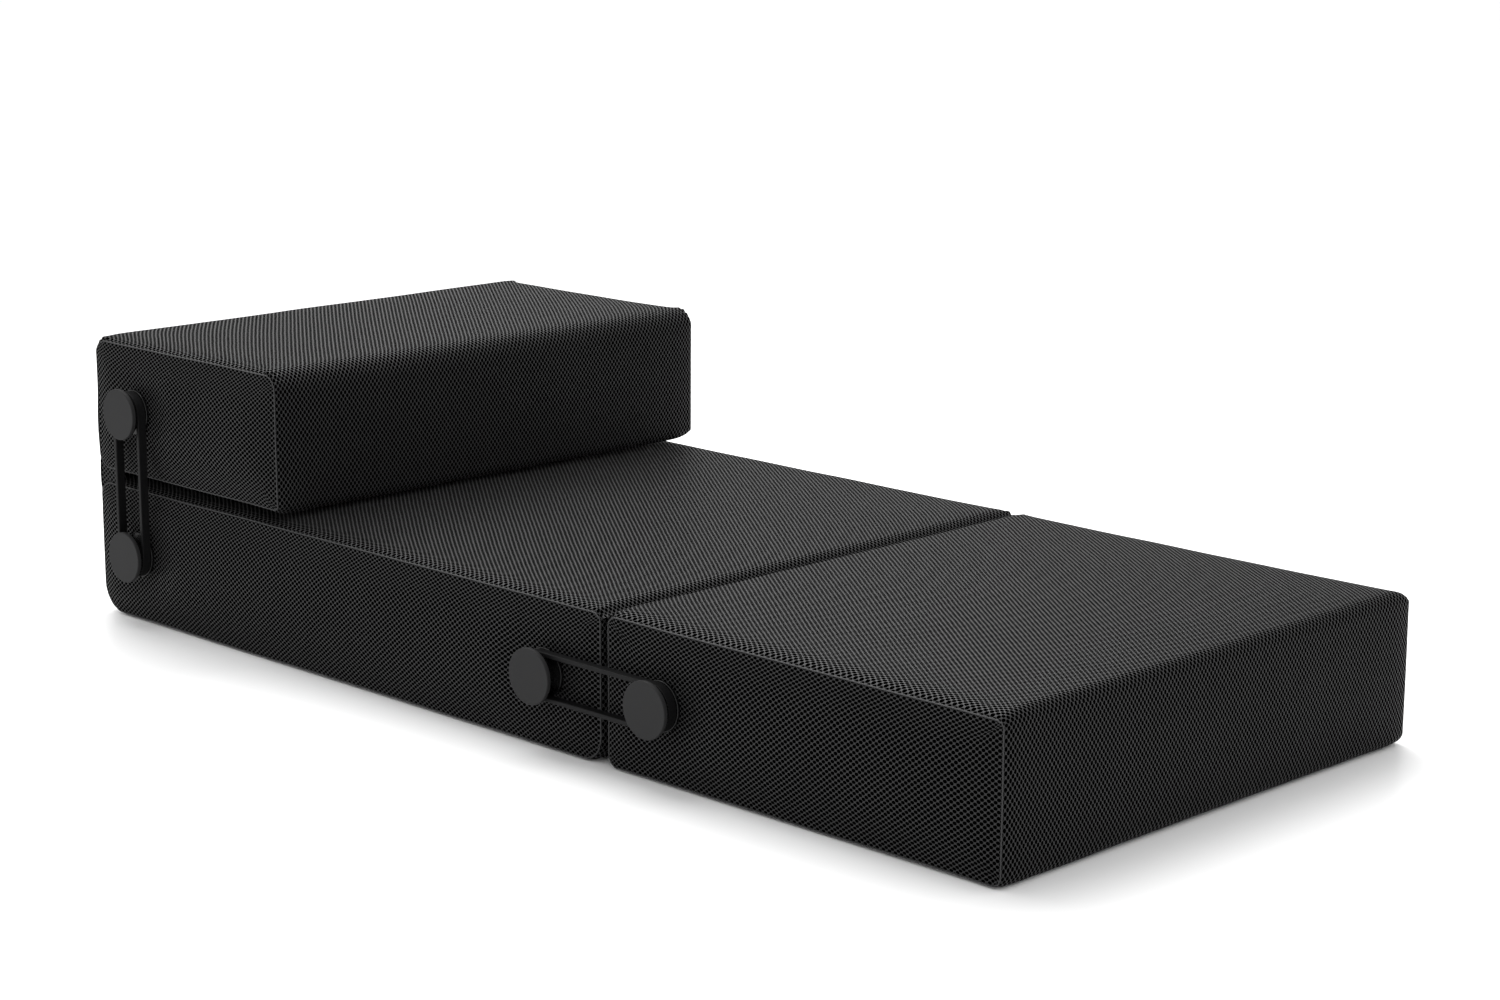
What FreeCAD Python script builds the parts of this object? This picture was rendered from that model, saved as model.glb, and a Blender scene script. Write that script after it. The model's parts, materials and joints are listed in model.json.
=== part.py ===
import FreeCAD, Part
import math
import os
from collections import namedtuple

# Foam block sofa bed. A base block carries a head block folded on top of its rear end, and a foot
# block lies in line in front of it. Each block is a foam core in a zipped cover of spacer mesh.
# The blocks are hinged at their top edges by fabric webs, and elastic loops stretched round knobs
# on both sides hold each fold open or shut.
#
# Millimetres. +X is to the right seen from the foot end, +Y runs from the foot end to the head end,
# +Z is up. The origin is on the floor, in the middle of the folded sofa's footprint.

Vector = FreeCAD.Vector

# ---- Driving dimensions ------------------------------------------------------------------------

WIDTH = 780.0             # over the two side panels, without the knobs
HEAD_LENGTH = 425.0
FOOT_LENGTH = 630.0
BLOCK_HEIGHT = 200.0      # the same for all blocks, so that they make one level bed
FOLD_GAP = 6.0            # air between two blocks that meet face to face
CLOSING_GAP = 10.0        # air between head and foot when both lie on the base

COVER_THICKNESS = 4.0     # spacer mesh
CORE_CLEARANCE = 0.3      # foam core to cover
HEAD_FOLD_RADIUS = 28.0   # the two block edges that the head's fabric web joins
FOOT_FOLD_RADIUS = 20.0   # the two block edges that the foot's fabric web joins
BASE_REAR_RADIUS = 46.0   # the base's lower edge at the head end
BASE_LOWER_FOLD_RADIUS = 36.0
HEAD_TOP_RADIUS = 28.0
HEAD_LOWER_FRONT_RADIUS = 14.0
FOOT_END_RADIUS = 16.0    # both edges at the foot end
FOOT_LOWER_FOLD_RADIUS = 18.0

WEB_THICKNESS = 2.0       # fabric hinge
WEB_DEPTH = 6.0           # how far the web lies in from the faces that it joins
WEB_CLEARANCE = 0.3

CAP_DIAMETER = 72.0
CAP_THICKNESS = 6.0
CAP_BOSS_LENGTH = 1.5
RETAINER_DIAMETER = 64.0  # outer cheek of the spool
RETAINER_THICKNESS = 6.0
HUB_DIAMETER = 50.0       # floor of the groove that holds the loop
FLANGE_DIAMETER = 64.0    # inner cheek, against the cover
FLANGE_THICKNESS = 4.5
CHEEK_ROUNDING = 1.2

LOOP_WIDTH = 13.0         # along X
LOOP_THICKNESS = 5.5      # radial
LOOP_CLEARANCE = 0.3      # loop to hub
LOOP_SIDE_CLEARANCE = 0.5 # loop to either cheek
LOOP_EDGE_ROUNDING = 1.0

ANCHOR_DIAMETER = 90.0
ANCHOR_THICKNESS = 10.0
SCREW_DIAMETER = 6.0
SCREW_HEAD_DIAMETER = 15.0
SCREW_HEAD_HEIGHT = 4.0
SCREW_CLEARANCE = 0.2     # radial, in every hole that the screw passes

ZIP_END_MARGIN = 60.0     # from the ends of the zip to the side panels
ZIP_INSET = 70.0          # from the block's edge to the zip
ZIP_SLOT_WIDTH = 16.0
ZIP_TAPE_THICKNESS = 1.0
ZIP_COIL_WIDTH = 5.0
ZIP_COIL_THICKNESS = 1.2
ZIP_SLIDER_WIDTH = 9.0
ZIP_SLIDER_LENGTH = 14.0
ZIP_SLIDER_THICKNESS = 1.2
ZIP_SLIDER_CLEARANCE = 0.2
ZIP_PULL_WIDTH = 5.0
ZIP_PULL_LENGTH = 22.0
ZIP_STOP_GAP = 4.0        # from the closed slider to the end of the slot

# ---- Places that follow from them --------------------------------------------------------------

# Folded up, head and foot lie end to end on the base.
BASE_LENGTH = HEAD_LENGTH + FOOT_LENGTH + CLOSING_GAP
BASE_BACK = (BASE_LENGTH + FOLD_GAP + FOOT_LENGTH) / 2
BASE_FRONT = BASE_BACK - BASE_LENGTH
FOOT_BACK = BASE_FRONT - FOLD_GAP
FOOT_FRONT = FOOT_BACK - FOOT_LENGTH
HEAD_FRONT = BASE_BACK - HEAD_LENGTH
HEAD_BOTTOM = BLOCK_HEIGHT + FOLD_GAP

# A knob sits as far in from the fold's end face as below its top face, so that its loop has the
# same length open and shut.
KNOB_INSET = BLOCK_HEIGHT / 2

SIDE_FACE = WIDTH / 2
INNER_SIDE = SIDE_FACE - COVER_THICKNESS
GROOVE_WIDTH = LOOP_WIDTH + 2 * LOOP_SIDE_CLEARANCE
GROOVE_END = FLANGE_THICKNESS + GROOVE_WIDTH
SPOOL_END = GROOVE_END + RETAINER_THICKNESS
SEAT_DEPTH = SCREW_HEAD_HEIGHT + CAP_BOSS_LENGTH

SIDES = {"left": -1, "right": 1}

Radii = namedtuple("Radii", "bottom_front bottom_back top_back top_front")
Block = namedtuple("Block", "name front back bottom radii knobs zip_on_back")
# A knob's place: its name, y and z.
Knob = namedtuple("Knob", "name y z")

BLOCKS = [
    Block(
        "base", BASE_FRONT, BASE_BACK, 0.0,
        Radii(BASE_LOWER_FOLD_RADIUS, BASE_REAR_RADIUS, HEAD_FOLD_RADIUS, FOOT_FOLD_RADIUS),
        [Knob("base_rear_knob", BASE_BACK - KNOB_INSET, KNOB_INSET),
         Knob("base_front_knob", BASE_FRONT + KNOB_INSET, KNOB_INSET)],
        False,
    ),
    Block(
        "head", HEAD_FRONT, BASE_BACK, HEAD_BOTTOM,
        Radii(HEAD_LOWER_FRONT_RADIUS, HEAD_FOLD_RADIUS, HEAD_TOP_RADIUS, HEAD_TOP_RADIUS),
        [Knob("head_knob", BASE_BACK - KNOB_INSET, HEAD_BOTTOM + KNOB_INSET)],
        True,
    ),
    Block(
        "foot", FOOT_FRONT, FOOT_BACK, 0.0,
        Radii(FOOT_END_RADIUS, FOOT_LOWER_FOLD_RADIUS, FOOT_FOLD_RADIUS, FOOT_END_RADIUS),
        [Knob("foot_knob", FOOT_BACK - KNOB_INSET, KNOB_INSET)],
        False,
    ),
]


# ---- Shapes that several pieces use ------------------------------------------------------------

def box(low, high):
    """An upright box between two opposite corners."""
    size = high - low
    return Part.makeBox(size.x, size.y, size.z, low)


def cross_section(block, inset, x):
    """The block's outline across X, with rounded corners, drawn a distance inside its faces."""
    front = block.front + inset
    back = block.back - inset
    bottom = block.bottom + inset
    top = block.bottom + BLOCK_HEIGHT - inset
    # Each corner: its point, the directions that lead from it into the face, and its radius.
    corners = [
        (front, bottom, 1, 1, block.radii.bottom_front),
        (back, bottom, -1, 1, block.radii.bottom_back),
        (back, top, -1, -1, block.radii.top_back),
        (front, top, 1, -1, block.radii.top_front),
    ]
    arcs = []
    for number, (y, z, into_y, into_z, outer_radius) in enumerate(corners):
        radius = outer_radius - inset
        bulge = radius * (1 - math.sqrt(0.5))
        on_z = Vector(x, y, z + into_z * radius)
        on_y = Vector(x, y + into_y * radius, z)
        middle = Vector(x, y + into_y * bulge, z + into_z * bulge)
        start, end = (on_z, on_y) if number in (0, 2) else (on_y, on_z)
        arcs.append((start, middle, end))
    edges = []
    for number, (start, middle, end) in enumerate(arcs):
        next_start = arcs[(number + 1) % len(arcs)][0]
        edges.append(Part.Arc(start, middle, end).toShape())
        edges.append(Part.LineSegment(end, next_start).toShape())
    return Part.Face(Part.Wire(edges))


def block_solid(block, inset, x_low, x_high):
    """The block's form between two planes across X, a distance inside its faces."""
    return cross_section(block, inset, x_low).extrude(Vector(x_high - x_low, 0, 0))


def disc(side, knob, start, end, diameter):
    """A disc on a knob's axis. start and end are measured outwards from the side panel's face."""
    low = Vector(side * (SIDE_FACE + start), knob.y, knob.z)
    return Part.makeCylinder(diameter / 2, end - start, low, Vector(side, 0, 0))


def stadium(first, second, radius, x_low, x_high):
    """A flat bar with round ends about two points of a side face."""
    along = Vector(0, second.y - first.y, second.z - first.z)
    along.normalize()
    across = Vector(0, -along.z, along.y)
    centre_1 = Vector(x_low, first.y, first.z)
    centre_2 = Vector(x_low, second.y, second.z)
    corner_1 = centre_1 + across * radius
    corner_2 = centre_2 + across * radius
    corner_3 = centre_2 - across * radius
    corner_4 = centre_1 - across * radius
    outline = Part.Wire([
        Part.LineSegment(corner_1, corner_2).toShape(),
        Part.Arc(corner_2, centre_2 + along * radius, corner_3).toShape(),
        Part.LineSegment(corner_3, corner_4).toShape(),
        Part.Arc(corner_4, centre_1 - along * radius, corner_1).toShape(),
    ])
    return Part.Face(outline).extrude(Vector(x_high - x_low, 0, 0))


# ---- Zip, drawn with its outer face at z = 0 and the block's inside towards +Z -------------------

ZIP_LENGTH = 2 * (INNER_SIDE - ZIP_END_MARGIN)


def zip_box(x_low, x_high, width, z_low, z_high):
    return box(Vector(x_low, -width / 2, z_low), Vector(x_high, width / 2, z_high))


def zip_slot():
    return zip_box(-ZIP_LENGTH / 2, ZIP_LENGTH / 2, ZIP_SLOT_WIDTH, 0, COVER_THICKNESS)


def zip_tape():
    """Tape across the slot, with the closed coil standing on it."""
    tape_face = COVER_THICKNESS - ZIP_TAPE_THICKNESS
    tape = zip_box(-ZIP_LENGTH / 2, ZIP_LENGTH / 2, ZIP_SLOT_WIDTH, tape_face, COVER_THICKNESS)
    coil_face = tape_face - ZIP_COIL_THICKNESS
    coil = zip_box(-ZIP_LENGTH / 2, ZIP_LENGTH / 2, ZIP_COIL_WIDTH, coil_face, tape_face)
    return tape.fuse(coil).removeSplitter()


def zip_slider():
    """Slider with its flat pull, closed at the left end."""
    inner = COVER_THICKNESS - ZIP_TAPE_THICKNESS - ZIP_COIL_THICKNESS - ZIP_SLIDER_CLEARANCE
    outer = inner - ZIP_SLIDER_THICKNESS
    start = -ZIP_LENGTH / 2 + ZIP_STOP_GAP
    end = start + ZIP_SLIDER_LENGTH
    body = zip_box(start, end, ZIP_SLIDER_WIDTH, outer, inner)
    pull = zip_box(end, end + ZIP_PULL_LENGTH, ZIP_PULL_WIDTH, outer, inner)
    return body.fuse(pull).removeSplitter()


def zip_placement(block):
    """The zip runs along the underside, or along the back face where people lie on the underside."""
    if block.zip_on_back:
        turn = FreeCAD.Rotation(Vector(1, 0, 0), 90)
        return FreeCAD.Placement(Vector(0, block.back, block.bottom + ZIP_INSET), turn)
    return FreeCAD.Placement(Vector(0, block.back - ZIP_INSET, block.bottom), FreeCAD.Rotation())


def on_block(shape, block):
    placed = shape.copy()
    placed.transformShape(zip_placement(block).toMatrix())
    return placed


# ---- Blocks: foam core and cover ---------------------------------------------------------------

def foam_core(block):
    """Foam, with a pocket behind each anchor plate."""
    side = INNER_SIDE - CORE_CLEARANCE
    core = block_solid(block, COVER_THICKNESS + CORE_CLEARANCE, -side, side)
    pocket_depth = COVER_THICKNESS + ANCHOR_THICKNESS + CORE_CLEARANCE
    for side_sign in SIDES.values():
        for knob in block.knobs:
            pocket = disc(side_sign, knob, -pocket_depth, 0, ANCHOR_DIAMETER + 2 * CORE_CLEARANCE)
            core = core.cut(pocket)
    return core


def cover_ring(block):
    """The cover round the block's four long faces, between the side panels."""
    outside = block_solid(block, 0, -INNER_SIDE, INNER_SIDE)
    inside = block_solid(block, COVER_THICKNESS, -INNER_SIDE, INNER_SIDE)
    return outside.cut(inside).cut(on_block(zip_slot(), block))


def underside_space(block):
    """The space of the flat underside panel, between the seams to the wrap."""
    low = Vector(-INNER_SIDE, block.front + block.radii.bottom_front, block.bottom)
    high_y = block.back - block.radii.bottom_back
    return box(low, Vector(INNER_SIDE, high_y, block.bottom + COVER_THICKNESS))


def side_panel(block, side):
    """Flat end panel of the cover, with a hole for each knob's screw."""
    x_low = min(side * INNER_SIDE, side * SIDE_FACE)
    panel = block_solid(block, 0, x_low, x_low + COVER_THICKNESS)
    for knob in block.knobs:
        hole_diameter = SCREW_DIAMETER + 2 * SCREW_CLEARANCE
        panel = panel.cut(disc(side, knob, -COVER_THICKNESS, 0, hole_diameter))
    return panel


# ---- Knobs -------------------------------------------------------------------------------------

def spool(side, knob):
    """Grooved spool that the loop runs on, bored for the screw and its head."""
    flange = disc(side, knob, 0, FLANGE_THICKNESS, FLANGE_DIAMETER)
    hub = disc(side, knob, FLANGE_THICKNESS, GROOVE_END, HUB_DIAMETER)
    retainer = disc(side, knob, GROOVE_END, SPOOL_END, RETAINER_DIAMETER)
    body = flange.fuse([hub, retainer]).removeSplitter()
    rims = [e for e in body.Edges
            if isinstance(e.Curve, Part.Circle) and e.Curve.Radius > HUB_DIAMETER / 2 + CHEEK_ROUNDING]
    body = body.makeFillet(CHEEK_ROUNDING, rims)
    bore = disc(side, knob, 0, SPOOL_END, SCREW_DIAMETER + 2 * SCREW_CLEARANCE)
    seat_diameter = SCREW_HEAD_DIAMETER + 2 * SCREW_CLEARANCE
    seat = disc(side, knob, SPOOL_END - SEAT_DEPTH, SPOOL_END, seat_diameter)
    return body.cut(bore).cut(seat)


def cap(side, knob):
    """Flat disc that snaps into the screw's seat and hides the screw."""
    plate = disc(side, knob, SPOOL_END, SPOOL_END + CAP_THICKNESS, CAP_DIAMETER)
    rims = [e for e in plate.Edges if isinstance(e.Curve, Part.Circle)]
    plate = plate.makeFillet(CHEEK_ROUNDING, rims)
    boss = disc(side, knob, SPOOL_END - CAP_BOSS_LENGTH, SPOOL_END, SCREW_HEAD_DIAMETER)
    return plate.fuse(boss).removeSplitter()


def anchor_plate(side, knob):
    """Disc between cover and foam that the screw is driven into."""
    inner_face = -(COVER_THICKNESS + ANCHOR_THICKNESS)
    plate = disc(side, knob, inner_face, -COVER_THICKNESS, ANCHOR_DIAMETER)
    hole_diameter = SCREW_DIAMETER + 2 * SCREW_CLEARANCE
    return plate.cut(disc(side, knob, inner_face, -COVER_THICKNESS, hole_diameter))


def screw(side, knob):
    head_seat = SPOOL_END - SEAT_DEPTH
    head = disc(side, knob, head_seat, head_seat + SCREW_HEAD_HEIGHT, SCREW_HEAD_DIAMETER)
    tip = -(COVER_THICKNESS + ANCHOR_THICKNESS)
    shank = disc(side, knob, tip, head_seat, SCREW_DIAMETER)
    return head.fuse(shank).removeSplitter()


# ---- What crosses the folds --------------------------------------------------------------------

def elastic_loop(side, first, second):
    """Endless band round two knobs, with straight strands between them."""
    start = SIDE_FACE + FLANGE_THICKNESS + LOOP_SIDE_CLEARANCE
    x_low = min(side * start, side * (start + LOOP_WIDTH))
    inner_radius = HUB_DIAMETER / 2 + LOOP_CLEARANCE
    outside = stadium(first, second, inner_radius + LOOP_THICKNESS, x_low, x_low + LOOP_WIDTH)
    inside = stadium(first, second, inner_radius, x_low, x_low + LOOP_WIDTH)
    band = outside.cut(inside)
    faces_across = [f for f in band.Faces if abs(f.normalAt(0, 0).x) > 0.5]
    rims = [e for face in faces_across for e in face.Edges]
    return band.makeFillet(LOOP_EDGE_ROUNDING, rims)


def web_reach(edge_radius):
    """How far a web reaches past the fold's two faces, onto the rounded edges that it joins."""
    along = edge_radius - WEB_DEPTH - WEB_THICKNESS
    drop = edge_radius - math.sqrt(edge_radius ** 2 - along ** 2)
    return drop - WEB_CLEARANCE


def head_fold_web():
    """Fabric hinge between the back edges of the base's top and the head's underside."""
    outer = BASE_BACK - WEB_DEPTH
    reach = web_reach(HEAD_FOLD_RADIUS)
    low = Vector(-INNER_SIDE, outer - WEB_THICKNESS, BLOCK_HEIGHT - reach)
    return box(low, Vector(INNER_SIDE, outer, HEAD_BOTTOM + reach))


def foot_fold_web():
    """Fabric hinge between the top edges of the base's front and the foot's back."""
    outer = BLOCK_HEIGHT - WEB_DEPTH
    reach = web_reach(FOOT_FOLD_RADIUS)
    low = Vector(-INNER_SIDE, FOOT_BACK - reach, outer - WEB_THICKNESS)
    return box(low, Vector(INNER_SIDE, BASE_FRONT + reach, outer))


# ---- The pieces, by name -----------------------------------------------------------------------

pieces = {}

for block in BLOCKS:
    ring = cover_ring(block)
    pieces[block.name + "_foam_core"] = foam_core(block)
    pieces[block.name + "_cover_wrap"] = ring.cut(underside_space(block))
    pieces[block.name + "_cover_underside"] = ring.common(underside_space(block))
    pieces[block.name + "_zip_tape"] = on_block(zip_tape(), block)
    pieces[block.name + "_zip_slider"] = on_block(zip_slider(), block)
    screws = []
    for side_name, side in SIDES.items():
        pieces[block.name + "_side_panel_" + side_name] = side_panel(block, side)
        for knob in block.knobs:
            pieces[knob.name + "_cap_" + side_name] = cap(side, knob)
            pieces[knob.name + "_spool_" + side_name] = spool(side, knob)
            pieces[knob.name + "_anchor_" + side_name] = anchor_plate(side, knob)
            screws.append(screw(side, knob))
    pieces[block.name + "_knob_screws"] = Part.makeCompound(screws)

base, head, foot = BLOCKS
base_rear_knob, base_front_knob = base.knobs
for side_name, side in SIDES.items():
    head_loop = elastic_loop(side, base_rear_knob, head.knobs[0])
    foot_loop = elastic_loop(side, base_front_knob, foot.knobs[0])
    pieces["head_fold_loop_" + side_name] = head_loop
    pieces["foot_fold_loop_" + side_name] = foot_loop

pieces["head_fold_web"] = head_fold_web()
pieces["foot_fold_web"] = foot_fold_web()

os.makedirs("parts", exist_ok=True)
for name, shape in pieces.items():
    if not shape.isValid():
        raise ValueError(name + " is not a valid solid")
    shape.exportStep("parts/" + name + ".step")
    print(name, len(shape.Solids), "solid(s),", round(shape.Volume / 1000), "cm3")
print(len(pieces), "nodes")
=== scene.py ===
# %% [markdown]
# # A folding sofa bed of three foam blocks
# The sofa is three foam blocks in zipped covers of black spacer mesh. Fabric webs hinge the blocks at
# their top edges, and elastic loops round knobs on both sides hold each fold open or shut. The
# engineering model gives every place and size. This script adds the looks: sewn covers that are
# crowned by a cloth simulation, seams, webs, zips, and a finish for each piece.

# %% Load the frame
import json
import math

import bmesh
import bpy
import numpy as np
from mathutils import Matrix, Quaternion, Vector, noise


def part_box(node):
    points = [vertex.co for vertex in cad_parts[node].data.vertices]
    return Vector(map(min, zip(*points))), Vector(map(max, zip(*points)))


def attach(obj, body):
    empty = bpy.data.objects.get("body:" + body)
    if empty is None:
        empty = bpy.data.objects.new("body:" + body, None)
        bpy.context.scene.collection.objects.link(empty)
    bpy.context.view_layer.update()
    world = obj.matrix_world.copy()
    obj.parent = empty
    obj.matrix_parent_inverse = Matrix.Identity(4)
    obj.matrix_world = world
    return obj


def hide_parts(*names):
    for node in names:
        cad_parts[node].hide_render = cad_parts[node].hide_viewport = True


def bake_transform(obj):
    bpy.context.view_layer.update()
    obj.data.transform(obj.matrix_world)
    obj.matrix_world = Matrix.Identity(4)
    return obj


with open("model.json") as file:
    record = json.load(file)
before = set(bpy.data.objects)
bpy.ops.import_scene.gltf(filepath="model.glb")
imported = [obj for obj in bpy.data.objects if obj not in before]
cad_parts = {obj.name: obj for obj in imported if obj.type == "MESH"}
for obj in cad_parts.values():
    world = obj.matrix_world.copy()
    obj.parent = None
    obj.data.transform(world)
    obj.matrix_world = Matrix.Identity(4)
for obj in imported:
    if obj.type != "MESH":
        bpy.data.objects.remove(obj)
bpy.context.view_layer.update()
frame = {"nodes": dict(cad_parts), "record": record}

NODES = frame["nodes"]
MM = 0.001

# %% [markdown]
# ## Camera
# The view is from the foot end's left corner and a little above the head block. A long lens from a
# few metres away keeps the blocks' edges nearly parallel, which suits furniture. The camera is set by
# the place where it stands and by the three angles that it is turned to.

# %% Camera
CAMERA_PLACE = Vector((-2.861, -2.909, 1.149))
CAMERA_HEADING = math.radians(45.33)
CAMERA_TILT = math.radians(12.58)
CAMERA_ROLL = math.radians(-0.25)
CAMERA_LENS = 75.15

aim = Vector((
    math.sin(CAMERA_HEADING) * math.cos(CAMERA_TILT),
    math.cos(CAMERA_HEADING) * math.cos(CAMERA_TILT),
    -math.sin(CAMERA_TILT),
))
camera_data = bpy.data.cameras.new("camera")
camera_data.lens = CAMERA_LENS
camera_data.clip_end = 50
camera = bpy.data.objects.new("camera", camera_data)
camera.location = CAMERA_PLACE
camera.rotation_mode = "QUATERNION"
camera.rotation_quaternion = aim.to_track_quat("-Z", "Y") @ Quaternion((0, 0, 1), -CAMERA_ROLL)
bpy.context.scene.collection.objects.link(camera)
bpy.context.scene.camera = camera
print("camera:", CAMERA_LENS, "mm lens")

# %% [markdown]
# ## Small helpers
# Blender's operators act on whatever is selected, so each one needs a clean selection first. These
# helpers say which object is worked on and which of its parts are picked. Two more read and write all
# of a mesh's vertex places at once, because the covers have tens of thousands of them.


# %% Selection helpers
def activate(piece):
    """Makes one object the only selected and active one."""
    if bpy.context.object and bpy.context.object.mode != "OBJECT":
        bpy.ops.object.mode_set(mode="OBJECT")
    bpy.ops.object.select_all(action="DESELECT")
    piece.select_set(True)
    bpy.context.view_layer.objects.active = piece


def edit(piece, mode="VERT"):
    """Opens a mesh in edit mode with nothing picked."""
    activate(piece)
    bpy.ops.object.mode_set(mode="EDIT")
    bpy.ops.mesh.select_mode(type=mode)
    bpy.ops.mesh.select_all(action="DESELECT")


def pick(piece, kind, test):
    """In edit mode, picks the verts, edges or faces whose middle passes a test."""
    mesh = bmesh.from_edit_mesh(piece.data)
    for part in getattr(mesh, kind):
        if kind == "verts":
            middle = part.co
        else:
            middle = sum((v.co for v in part.verts), Vector()) / len(part.verts)
        part.select_set(test(middle, part))
    mesh.select_flush_mode()
    bmesh.update_edit_mesh(piece.data)


def finish_modifier(piece, kind, **settings):
    """Adds a modifier, sets it and applies it."""
    activate(piece)
    modifier = piece.modifiers.new(kind.lower(), kind)
    for name, value in settings.items():
        setattr(modifier, name, value)
    bpy.ops.object.modifier_apply(modifier=modifier.name)


def new_box(name, low, high):
    """A box between two corners, with its place in its mesh."""
    bpy.ops.object.select_all(action="DESELECT")
    bpy.ops.mesh.primitive_cube_add(size=1, location=(low + high) / 2, scale=high - low)
    piece = bpy.context.object
    piece.name = name
    bpy.ops.object.transform_apply(location=True, rotation=True, scale=True)
    return piece


def places(piece):
    """The mesh's vertex places as an array."""
    flat = np.empty(len(piece.data.vertices) * 3)
    piece.data.vertices.foreach_get("co", flat)
    return flat.reshape(-1, 3)


def move_to(piece, points):
    """Puts the mesh's vertices in new places."""
    piece.data.vertices.foreach_set("co", np.ascontiguousarray(points, dtype=np.float32).ravel())
    piece.data.update()


def smooth(piece, angle=35):
    """Shades a piece smooth, with sharp edges where faces meet at more than an angle in degrees."""
    activate(piece)
    bpy.ops.object.shade_smooth_by_angle(angle=math.radians(angle))


# %% [markdown]
# ## Finishes
# Each material is built from nodes. The knit pattern and the fine grain are node groups, because
# several materials use them with their own values.


# %% Node helpers
def node(tree, kind, **settings):
    """A new node with its settings."""
    made = tree.nodes.new(kind)
    for name, value in settings.items():
        setattr(made, name, value)
    return made


def math_node(tree, operation, first, second=None, clamp=False):
    """A Math node whose inputs are sockets or plain numbers."""
    made = node(tree, "ShaderNodeMath", operation=operation, use_clamp=clamp)
    for number, value in enumerate((first, second)):
        if value is None:
            continue
        if isinstance(value, (int, float)):
            made.inputs[number].default_value = value
        else:
            tree.links.new(value, made.inputs[number])
    return made.outputs[0]


def new_group(name, inputs, outputs):
    """A shader node group with named inputs, (name, type, default), and outputs, (name, type)."""
    group = bpy.data.node_groups.new(name, "ShaderNodeTree")
    for label, kind, default in inputs:
        socket = group.interface.new_socket(label, in_out="INPUT", socket_type="NodeSocket" + kind)
        if default is not None:
            socket.default_value = default
    for label, kind in outputs:
        group.interface.new_socket(label, in_out="OUTPUT", socket_type="NodeSocket" + kind)
    return group, node(group, "NodeGroupInput"), node(group, "NodeGroupOutput")


# %% [markdown]
# ### Spacer mesh
# Spacer mesh is a thick warp knit. Its face is a net of staggered oval holes, about 7 by 9 mm from
# one to the next, and its back is dark. Its mask later picks painted shade for the deep holes.
# Two square lattices half a cell apart make the stagger. The nearer of the two hole centres gives the
# distance from which the hole, its soft rim and the height of the yarn all follow.

# %% Spacer mesh group
KNIT_WOBBLE = 0.22       # how far rows of holes stray, as a share of a cell
mesh_group, ins, outs = new_group(
    "spacer_mesh_pattern",
    [
        ("Vector", "Vector", None),
        ("Pitch U", "Float", 6.9 * MM),
        ("Pitch V", "Float", 9.2 * MM),
        ("Hole", "Float", 0.3),
        ("Softness", "Float", 0.06),
    ],
    [("Yarn", "Float"), ("Height", "Float"), ("Shade", "Float")],
)
wobble = node(mesh_group, "ShaderNodeTexNoise")
wobble.inputs["Scale"].default_value = 55
wobble.inputs["Detail"].default_value = 1
mesh_group.links.new(ins.outputs["Vector"], wobble.inputs["Vector"])
place = node(mesh_group, "ShaderNodeSeparateXYZ")
mesh_group.links.new(ins.outputs["Vector"], place.inputs[0])
cell_u = math_node(mesh_group, "DIVIDE", place.outputs["X"], ins.outputs["Pitch U"])
cell_v = math_node(mesh_group, "DIVIDE", place.outputs["Y"], ins.outputs["Pitch V"])
centred = math_node(mesh_group, "SUBTRACT", wobble.outputs[0], 0.5)
cell_u = math_node(mesh_group, "ADD", cell_u, math_node(mesh_group, "MULTIPLY", centred, KNIT_WOBBLE))
distances = []
for offset in (0.0, 0.5):
    squares = []
    for cell in (cell_u, cell_v):
        within = math_node(mesh_group, "FRACT", math_node(mesh_group, "ADD", cell, offset))
        from_hole = math_node(mesh_group, "SUBTRACT", within, 0.5)
        squares.append(math_node(mesh_group, "POWER", from_hole, 2))
    distances.append(math_node(mesh_group, "SQRT", math_node(mesh_group, "ADD", *squares)))
nearest = math_node(mesh_group, "MINIMUM", *distances)
past_rim = math_node(mesh_group, "SUBTRACT", nearest, ins.outputs["Hole"])
on_rim = math_node(mesh_group, "DIVIDE", past_rim, ins.outputs["Softness"])
yarn = math_node(mesh_group, "ADD", on_rim, 0.5, clamp=True)
mesh_group.links.new(yarn, outs.inputs["Yarn"])
round_yarn = math_node(mesh_group, "POWER", yarn, 0.6)
mesh_group.links.new(round_yarn, outs.inputs["Height"])
tone = node(mesh_group, "ShaderNodeTexNoise")
tone.inputs["Scale"].default_value = 9
tone.inputs["Detail"].default_value = 3
mesh_group.links.new(ins.outputs["Vector"], tone.inputs["Vector"])
shade = node(mesh_group, "ShaderNodeMapRange")
shade.inputs["To Min"].default_value = 0.82
shade.inputs["To Max"].default_value = 1.15
mesh_group.links.new(tone.outputs[0], shade.inputs["Value"])
mesh_group.links.new(shade.outputs[0], outs.inputs["Shade"])
print("node group:", mesh_group.name)

# %% [markdown]
# ### Fine grain
# Moulded plastic, rubber, foam and woven tape all have a texture that is too fine to model. One noise
# gives it, and each material says how fine it is and how much it changes colour, gloss and relief.

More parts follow.
